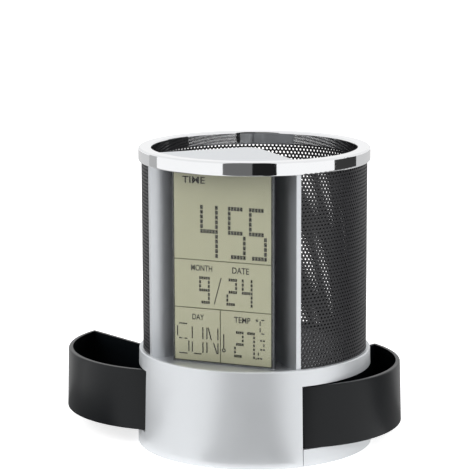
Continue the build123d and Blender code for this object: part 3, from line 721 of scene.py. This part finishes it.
@dataclass
class Figure:
    """One figure of the display, of marks on a grid of columns and rows. Sizes are in millimetres."""

    text: str
    left: float
    foot: float
    column_pitch: float
    row_pitch: float
    columns: int = 5
    rows: int = 7
    level_mark: tuple[float, float] = (0.72, 1.15)
    upright_mark: tuple[float, float] = (0.78, 1.12)

    def marks(self) -> list[Line]:
        """Gives the marks that are switched on.

        Returns:
            Middle, height of the middle, width and height of each mark.
        """
        lit = FIGURE_STROKES[self.text]
        last, top, middle = self.columns - 1, self.rows - 1, self.rows // 2
        level_rows = {Level.TOP: top, Level.MIDDLE: middle, Level.BOTTOM: 0}
        level_spots = set()
        upright_spots = set()
        for stroke, row in level_rows.items():
            letter, left_partner, right_partner = stroke.value
            if letter in lit:
                first = 0 if left_partner in lit else 1
                end = last if right_partner in lit else last - 1
                level_spots.update((column, row) for column in range(first, end + 1))
        for stroke in Upright:
            letter, is_right, is_high = stroke.value
            if letter in lit:
                low, high = (middle, top) if is_high else (0, middle - 1)
                upright_spots.update((last if is_right else 0, row) for row in range(low, high + 1))
        if "g" in lit:
            upright_spots = {spot for spot in upright_spots if spot[1] != middle}
        result = []
        for spots, size in ((level_spots, self.level_mark), (upright_spots - level_spots, self.upright_mark)):
            for column, row in sorted(spots):
                place = (self.left + column * self.column_pitch, self.foot + row * self.row_pitch)
                result.append((*place, *size))
        return result


@dataclass
class ThinLetter:
    """One letter of the weekday or the scale, made of thin dashes. Sizes are in millimetres."""

    text: str
    left: float
    foot: float
    width: float
    height: float

    def lines(self) -> list[Line]:
        """Gives the letter's dashes.

        Returns:
            Start and end of each dash.
        """
        result = []
        for x0, z0, x1, z1 in LETTER_STROKES[self.text]:
            start = (self.left + x0 * self.width, self.foot + z0 * self.height)
            end = (self.left + x1 * self.width, self.foot + z1 * self.height)
            result.append((*start, *end))
        return result


@dataclass
class Caption:
    """A short printed word of the display. Sizes are in millimetres."""

    text: str
    left: float
    foot: float
    width: float
    height: float
    weight: float = 0.016


@dataclass
class DisplayFace:
    """Liquid crystal in the display's glass, with what it shows.

    Sizes are in millimetres on its face. The bulb and the degree sign are given by middle and radius.
    """

    front_y: float = -34.40
    ink_thickness: float = 0.03
    film_gap: float = 0.01
    film_thickness: float = 0.05
    film_box: Line = (FILM_LEFT, FILM_FOOT, FILM_RIGHT, FILM_TOP)
    rule_width: float = 0.42
    dash_width: float = 0.5
    slash_width: float = 0.4
    bulb: tuple[float, float, float] = (0.3, 45.1, 0.62)
    degree: tuple[float, float, float] = (15.0, 58.8, 0.34)
    ring_sides: int = 16
    word_depth: float = 0.5
    figures: list[Figure] = field(default_factory=lambda: [
        Figure(text, left, 84.3, 1.32, 1.985, 6, 11, (1.1, 1.62), (1.2, 1.64))
        for text, left in (("4", -9.3), ("5", 2.9), ("5", 12.12))
    ] + [
        Figure(text, left, 64.6, 0.97, 1.69, level_mark=(0.8, 1.2), upright_mark=(0.84, 1.3))
        for text, left in (("9", -10.1), ("2", 1.96), ("4", 8.76))
    ] + [
        Figure("2", 5.25, 43.2, 0.87, 1.65), Figure("7", 10.2, 43.2, 0.87, 1.65),
        Figure("2", 15.6, 43.0, 1.2, 1.88, 3, 5, (0.9, 0.7), (0.5, 1.3)),
    ])
    letters: list[ThinLetter] = field(default_factory=lambda: [
        ThinLetter("S", -20.35, 42.5, 5.05, 12.5), ThinLetter("U", -13.75, 42.7, 4.75, 11.3),
        ThinLetter("N", -7.2, 43.3, 4.9, 10.7), ThinLetter("C", 16.35, 53.4, 1.9, 5.7),
    ])
    captions: list[Caption] = field(default_factory=lambda: [
        Caption("TIME", -17.8, 113.7, 10.1, 2.8), Caption("MONTH", -14.1, 77.5, 9.45, 2.55),
        Caption("DATE", 4.15, 77.5, 7.4, 2.6), Caption("DAY", -13.65, 57.0, 5.2, 2.4),
        Caption("TEMP", 4.95, 57.1, 7.15, 2.5),
    ])
    rules: list[Line] = field(default_factory=lambda: [
        (FILM_LEFT, 82.1, FILM_RIGHT, 82.1), (FILM_LEFT, RULE_LOW, FILM_RIGHT, RULE_LOW),
        (-1.2, FILM_FOOT, -1.2, RULE_LOW),
    ])
    seal_lines: list[Line] = field(default_factory=lambda: [
        (-21.71, 39.4, -21.71, FILM_TOP), (21.4, 39.4, 21.4, FILM_TOP), (FILM_LEFT, 39.65, 21.2, 39.65),
    ])
    slash: Line = (-0.75, 75.3, -3.85, 64.0)
    stem: Line = (0.3, 51.9, 0.3, 46.0)
    point: Line = (14.3, 42.75, 14.95, 42.75)

    def stroke(self, bm: bmesh.types.BMesh, line: Line, width: float, front: float, thickness: float) -> None:
        """Adds a straight flat stroke that faces the front.

        Args:
            bm: The mesh being built.
            line: Start and end, in millimetres.
            width: Its width in millimetres.
            front: Its front face along Y, in millimetres.
            thickness: Its thickness in millimetres.
        """
        start, end = Vector((line[0], 0, line[1])), Vector((line[2], 0, line[3]))
        along = (end - start).normalized()
        across = Vector((along.z, 0, -along.x)) * width / 2
        corners = (start - across, start + across, end + across, end - across)
        near, far = (
            [bm.verts.new(Vector((c.x, y, c.z)) * MM) for c in corners] for y in (front, front + thickness)
        )
        bm.faces.new(near)
        bm.faces.new(far)
        for i in range(len(corners)):
            bm.faces.new((near[i], near[i - 1], far[i - 1], far[i]))

    def ink(self, bm: bmesh.types.BMesh, lines: list[Line], width: float) -> None:
        """Adds strokes of one width to the ink on the display's face."""
        for line in lines:
            self.stroke(bm, line, width, self.front_y, self.ink_thickness)

    def hoop(self, bm: bmesh.types.BMesh, place: tuple[float, float, float], width: float) -> None:
        """Adds a small flat hoop.

        Args:
            bm: The mesh being built.
            place: Its middle and radius, in millimetres.
            width: Its width in millimetres.
        """
        x, z, radius = place
        inner, outer = radius - width / 2, radius + width / 2
        front, back = self.front_y, self.front_y + self.ink_thickness
        turns = [2 * math.pi * i / self.ring_sides for i in range(self.ring_sides)]
        loops = []
        for reach, y in ((inner, front), (outer, front), (outer, back), (inner, back)):
            spots = [Vector((x + reach * math.cos(t), y, z + reach * math.sin(t))) * MM for t in turns]
            loops.append([bm.verts.new(spot) for spot in spots])
        for k, loop in enumerate(loops):
            before = loops[k - 1]
            for i in range(self.ring_sides):
                bm.faces.new((before[i - 1], before[i], loop[i], loop[i - 1]))

    def words(self, caption: Caption) -> bpy.types.Mesh:
        """Makes a word of the display as flat letters.

        Args:
            caption: The word, its place and size.

        Returns:
            The word's mesh, in place.
        """
        curve = bpy.data.curves.new("word", "FONT")
        curve.body = caption.text
        curve.extrude = self.word_depth
        curve.offset = caption.weight
        thing = add_object("word", curve)
        mesh = plain_mesh(thing)
        bpy.data.objects.remove(thing)
        bpy.data.curves.remove(curve)
        low = [min(v.co[i] for v in mesh.vertices) for i in range(3)]
        high = [max(v.co[i] for v in mesh.vertices) for i in range(3)]
        for v in mesh.vertices:
            share = [(v.co[i] - low[i]) / (high[i] - low[i]) for i in range(3)]
            v.co = Vector((
                caption.left + share[0] * caption.width,
                self.front_y + (1 - share[2]) * self.ink_thickness,
                caption.foot + share[1] * caption.height,
            )) * MM
        return mesh

    def build(self, wardrobe: Wardrobe) -> None:
        """Builds the film, the figures, the words and the rules.

        Args:
            wardrobe: Gives the finishes.
        """
        layers = {
            "display_film": POLARISER_FILM, "display_figures": SEGMENT_DARK, "display_dashes": SEGMENT_DARK,
            "display_words": SEGMENT_DARK, "display_rules": SEGMENT_LINE,
        }
        film, figures, dashes, words, rules = meshes = [bmesh.new() for _ in layers]
        film_front = self.front_y + self.ink_thickness + self.film_gap
        left, foot, right, top = self.film_box
        middle = (left + right) / 2
        self.stroke(film, (middle, foot, middle, top), right - left, film_front, self.film_thickness)
        for figure in self.figures:
            for x, z, width, height in figure.marks():
                self.ink(figures, [(x, z - height / 2, x, z + height / 2)], width)
        self.ink(figures, [self.point], self.dash_width)
        for letter in self.letters:
            self.ink(dashes, letter.lines(), self.dash_width)
        self.ink(dashes, self.seal_lines, self.rule_width)
        self.ink(dashes, [self.slash], self.slash_width)
        self.ink(dashes, [self.stem], self.dash_width)
        self.hoop(dashes, self.bulb, self.dash_width)
        self.hoop(dashes, self.degree, self.slash_width)
        for caption in self.captions:
            mesh = self.words(caption)
            words.from_mesh(mesh)
            bpy.data.meshes.remove(mesh)
        self.ink(rules, self.rules, self.rule_width)
        for bm, (name, finish) in zip(meshes, layers.items()):
            thing = object_from(name, bm)
            wardrobe.dress(thing, finish)
            place_piece(thing, Body.HOLDER)


@dataclass
class DisplayGlass:
    """Clear sheet over the liquid crystal and dark sheet behind it, with eased edges."""

    side_trim: float = 0.05 * MM
    front_depth: float = 0.78 * MM
    rear_start: float = 0.9 * MM
    rear_gap: float = 0.06 * MM
    edge_ease: float = 0.3 * MM
    ease_segments: int = 2

    def sheet(self, name: str, low: Vector, high: Vector) -> bpy.types.Object:
        """Makes one sheet of glass.

        Args:
            name: The piece's name.
            low: Lowest corner.
            high: Highest corner.

        Returns:
            The sheet.
        """
        bm = bmesh.new()
        place = Matrix.Translation((low + high) / 2) @ Matrix.Diagonal((*(high - low), 1.0))
        bmesh.ops.create_cube(bm, size=1.0, matrix=place)
        front = [e for e in bm.edges if all(abs(v.co.y - low.y) < self.rear_gap for v in e.verts)]
        bmesh.ops.bevel(
            bm, geom=front, offset=self.edge_ease, segments=self.ease_segments, affect="EDGES",
            clamp_overlap=True,
        )
        return object_from(name, bm)

    def build(self, wardrobe: Wardrobe) -> None:
        """Builds and places both sheets.

        Args:
            wardrobe: Gives the finishes.
        """
        low, high = (Vector(corner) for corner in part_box("lcd_lens"))
        trim = Vector((self.side_trim, 0, 0))
        low, high = low + trim, high - trim
        sheets = (
            ("display_front_glass", low.y, low.y + self.front_depth, ClearGlass()),
            ("display_rear_glass", low.y + self.rear_start, high.y - self.rear_gap, GLASS_SEAL),
        )
        for name, front, rear, finish in sheets:
            sheet = self.sheet(name, Vector((low.x, front, low.z)), Vector((high.x, rear, high.z)))
            wardrobe.dress(sheet, finish)
            place_piece(sheet, Body.HOLDER, ("lcd_lens",))


class Tone(Enum):
    """Shades of the studio's reflection cards."""

    GREY = "70"
    BLACK = "20"
    SLATE = "3C"
    MIDDLE = "80"
    SILVER = "94"
    LIGHT = "BC"
    PALE = "D8"
    WHITE = "FF"


@dataclass
class ReflectionCard:
    """Card that curves round the object and along the floor, and shows only in gloss.

    Angles are degrees from the object's front, positive towards +X. Its floor reaches from near to far, and
    its upright part leans in by lean at its top.
    """

    name: str
    start: float
    end: float
    tone: Tone
    near: float = 0.054
    far: float = 1.6
    height: float = 1.1
    lean: float = 0.0
    glow: float = 1.0
    lift: float = 0.0002
    sides: int = 12

    def build(self) -> None:
        """Makes the card and hides it from all but reflections."""
        bm = bmesh.new()
        places = ((self.near, self.lift), (self.far, self.lift), (self.far - self.lean, self.height))
        rings = []
        for i in range(self.sides + 1):
            angle = math.radians(self.start + (self.end - self.start) * i / self.sides)
            rings.append([bm.verts.new(polar(radius, angle, z)) for radius, z in places])
        for before, after in zip(rings, rings[1:]):
            for k in range(len(places) - 1):
                bm.faces.new((before[k], after[k], after[k + 1], before[k + 1]))
        card = object_from(self.name, bm)
        material, tree, output = new_material(self.name + "_paper")
        grey = linear(self.tone.value * 3)
        glow = add_node(tree, "ShaderNodeEmission", {"Color": grey, "Strength": self.glow})
        tree.links.new(glow.outputs[0], output.inputs["Surface"])
        card.data.materials.append(material)
        for ray in ("camera", "diffuse", "transmission", "shadow", "volume_scatter"):
            setattr(card, "visible_" + ray, False)


@dataclass
class SoftLamp:
    """Square lamp with a soft edge. Its gloss is left to the studio's cards and sky."""

    name: str
    azimuth: float
    elevation: float
    size: float
    power: float
    distance: float = 1.4

    def build(self, target: Vector) -> None:
        """Makes the lamp and turns it to the object.

        Args:
            target: The point it looks at.
        """
        data = bpy.data.lights.new(self.name, "AREA")
        data.size = self.size
        data.energy = self.power
        thing = add_object(self.name, data)
        turn, rise = math.radians(self.azimuth), math.radians(self.elevation)
        spot = polar(self.distance * math.cos(rise), turn, self.distance * math.sin(rise))
        thing.matrix_world = aimed(spot, target)
        thing.visible_glossy = False


# Low cards stand up to CARD_WALL, flat ones only to CARD_FLAT, and tall ones lean in by CARD_LEAN, in metres.
# White ones glow a little over 1, so that plating shows them as white as the photograph does.
CARD_WALL, CARD_FLAT, CARD_LEAN, CARD_GLOW = 0.4, 0.002, 1.3, 1.12
# The short cards near the base lie this high, just over the wide ones
CARD_LIFT = 0.0004


@dataclass
class Studio:
    """Pale floor, soft lamps, reflection cards and the camera at the photograph's angle.

    The lens is given by focal_share, its focal length over the picture's width.
    """

    white: str = "FFFFFF"
    floor_colour: str = "FAFAFA"
    floor_glow: float = 0.7
    floor_z: float = -1.0 * MM
    floor_size: float = 8.0
    camera_place: Vector = field(default_factory=lambda: Vector((338.518, -838.65, 254.36)) * MM)
    camera_target: Vector = field(default_factory=lambda: Vector((-7.566, -3.133, 87.24)) * MM)
    camera_roll: float = math.radians(-0.185)
    focal_share: float = 2185.9 / 470
    sensor: float = 36.0
    clip_start: float = 0.01
    ambient: float = 0.45
    cards: list[ReflectionCard] = field(default_factory=lambda: [
        ReflectionCard("card_front_left_white", -54.0, -8.0, Tone.WHITE, height=CARD_WALL, glow=CARD_GLOW),
        ReflectionCard("card_front_grey", -8.0, 20.0, Tone.GREY, lean=CARD_LEAN),
        ReflectionCard("card_front_black", 20.0, 43.0, Tone.BLACK, lean=CARD_LEAN),
        ReflectionCard("card_front_right_white", 43.0, 105.0, Tone.WHITE, height=CARD_WALL, glow=CARD_GLOW),
        ReflectionCard("card_right_slate", 105.0, 139.0, Tone.SLATE, near=0.3, height=0.5),
        ReflectionCard("card_right_floor", 105.0, 139.0, Tone.SILVER, far=0.3, height=CARD_FLAT),
        ReflectionCard("card_rear_pale", 139.0, 258.0, Tone.PALE, height=CARD_FLAT),
        ReflectionCard("card_left_light", 258.0, 273.0, Tone.LIGHT, height=CARD_WALL),
        ReflectionCard("card_left_white", 273.0, 306.0, Tone.WHITE, height=CARD_WALL, glow=CARD_GLOW),
        ReflectionCard(
            "near_card_left", 258.0, 306.0, Tone.MIDDLE, far=0.14, height=CARD_FLAT, lift=CARD_LIFT,
        ),
        ReflectionCard("near_card_front", -7.0, 31.0, Tone.MIDDLE, far=0.3, height=CARD_FLAT, lift=CARD_LIFT),
    ])
    lamps: list[SoftLamp] = field(default_factory=lambda: [
        SoftLamp("left_lamp", azimuth=-45.5, elevation=30.0, size=0.9, power=8.0),
        SoftLamp("right_lamp", azimuth=72.5, elevation=30.0, size=0.9, power=8.0),
        SoftLamp("top_lamp", azimuth=0.0, elevation=80.0, size=1.2, power=5.0),
    ])

    def camera(self) -> None:
        """Makes the camera and sets it as the scene's."""
        data = bpy.data.cameras.new("camera")
        data.sensor_width = self.sensor
        data.lens = self.focal_share * self.sensor
        data.clip_start = self.clip_start
        thing = add_object("camera", data)
        roll = Matrix.Rotation(self.camera_roll, 4, "Z")
        thing.matrix_world = aimed(self.camera_place, self.camera_target) @ roll
        bpy.context.scene.camera = thing

    def seen_directly(self, tree: bpy.types.NodeTree) -> bpy.types.NodeSocket:
        """Adds the nodes that tell camera, reflection and refraction rays from the light's own.

        Args:
            tree: The material's or the world's tree.

        Returns:
            A socket that is 1 for rays that end in the picture and 0 for light on the object.
        """
        rays = add_node(tree, "ShaderNodeLightPath").outputs
        seen = rays["Is Camera Ray"]
        either = {"operation": "ADD", "use_clamp": True}
        for kind in ("Is Glossy Ray", "Is Transmission Ray"):
            seen = add_node(tree, "ShaderNodeMath", either, {0: seen, 1: rays[kind]}).outputs[0]
        return seen

    def world(self) -> None:
        """White to the camera, reflections and refractions, and a softer white light on everything."""
        world = bpy.data.worlds.new("studio")
        world.use_nodes = True
        tree = world.node_tree
        tree.nodes.clear()
        steps = {"To Min": self.ambient, "To Max": 1.0}
        level = add_node(tree, "ShaderNodeMapRange", steps, {"Value": self.seen_directly(tree)})
        strength = {"Strength": level.outputs[0]}
        sky = add_node(tree, "ShaderNodeBackground", {"Color": linear(self.white)}, strength)
        add_node(tree, "ShaderNodeOutputWorld", links={0: sky.outputs[0]})
        bpy.context.scene.world = world

    def floor(self) -> None:
        """Makes the pale floor that keeps the object's shadow."""
        bm = bmesh.new()
        half = self.floor_size / 2
        corners = ((-half, -half), (half, -half), (half, half), (-half, half))
        bm.faces.new([bm.verts.new((x, y, self.floor_z)) for x, y in corners])
        floor = object_from("floor", bm)
        material, tree, output = new_material("white_floor")
        matt = add_node(tree, "ShaderNodeBsdfDiffuse", {"Color": linear(self.floor_colour)}).outputs[0]
        light = {"Color": linear(self.white), "Strength": self.floor_glow}
        glow = add_node(tree, "ShaderNodeEmission", light).outputs[0]
        both = add_node(tree, "ShaderNodeAddShader", links={0: matt, 1: glow}).outputs[0]
        mix = add_node(tree, "ShaderNodeMixShader", links={0: self.seen_directly(tree), 1: matt, 2: both})
        tree.links.new(mix.outputs[0], output.inputs["Surface"])
        floor.data.materials.append(material)

    def build(self) -> None:
        """Builds the whole studio."""
        self.camera()
        self.world()
        self.floor()
        for card in self.cards:
            card.build()
        for lamp in self.lamps:
            lamp.build(self.camera_target)
        bpy.context.scene.view_settings.view_transform = "Standard"


def main() -> None:
    """Builds the studio, dresses the carried nodes and makes the new pieces."""
    logging.basicConfig(level=logging.INFO, format="%(name)s: %(message)s")
    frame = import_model()
    Studio().build()
    wardrobe = Wardrobe()
    for finish, names in NODE_FINISHES.items():
        for name in names:
            wardrobe.dress(frame["nodes"][name], finish)
            log.info("%s: %s", name, finish.name)
    PerforatedSleeve().build(wardrobe)
    DisplayFace().build(wardrobe)
    DisplayGlass().build(wardrobe)


if __name__ == "__main__":
    main()
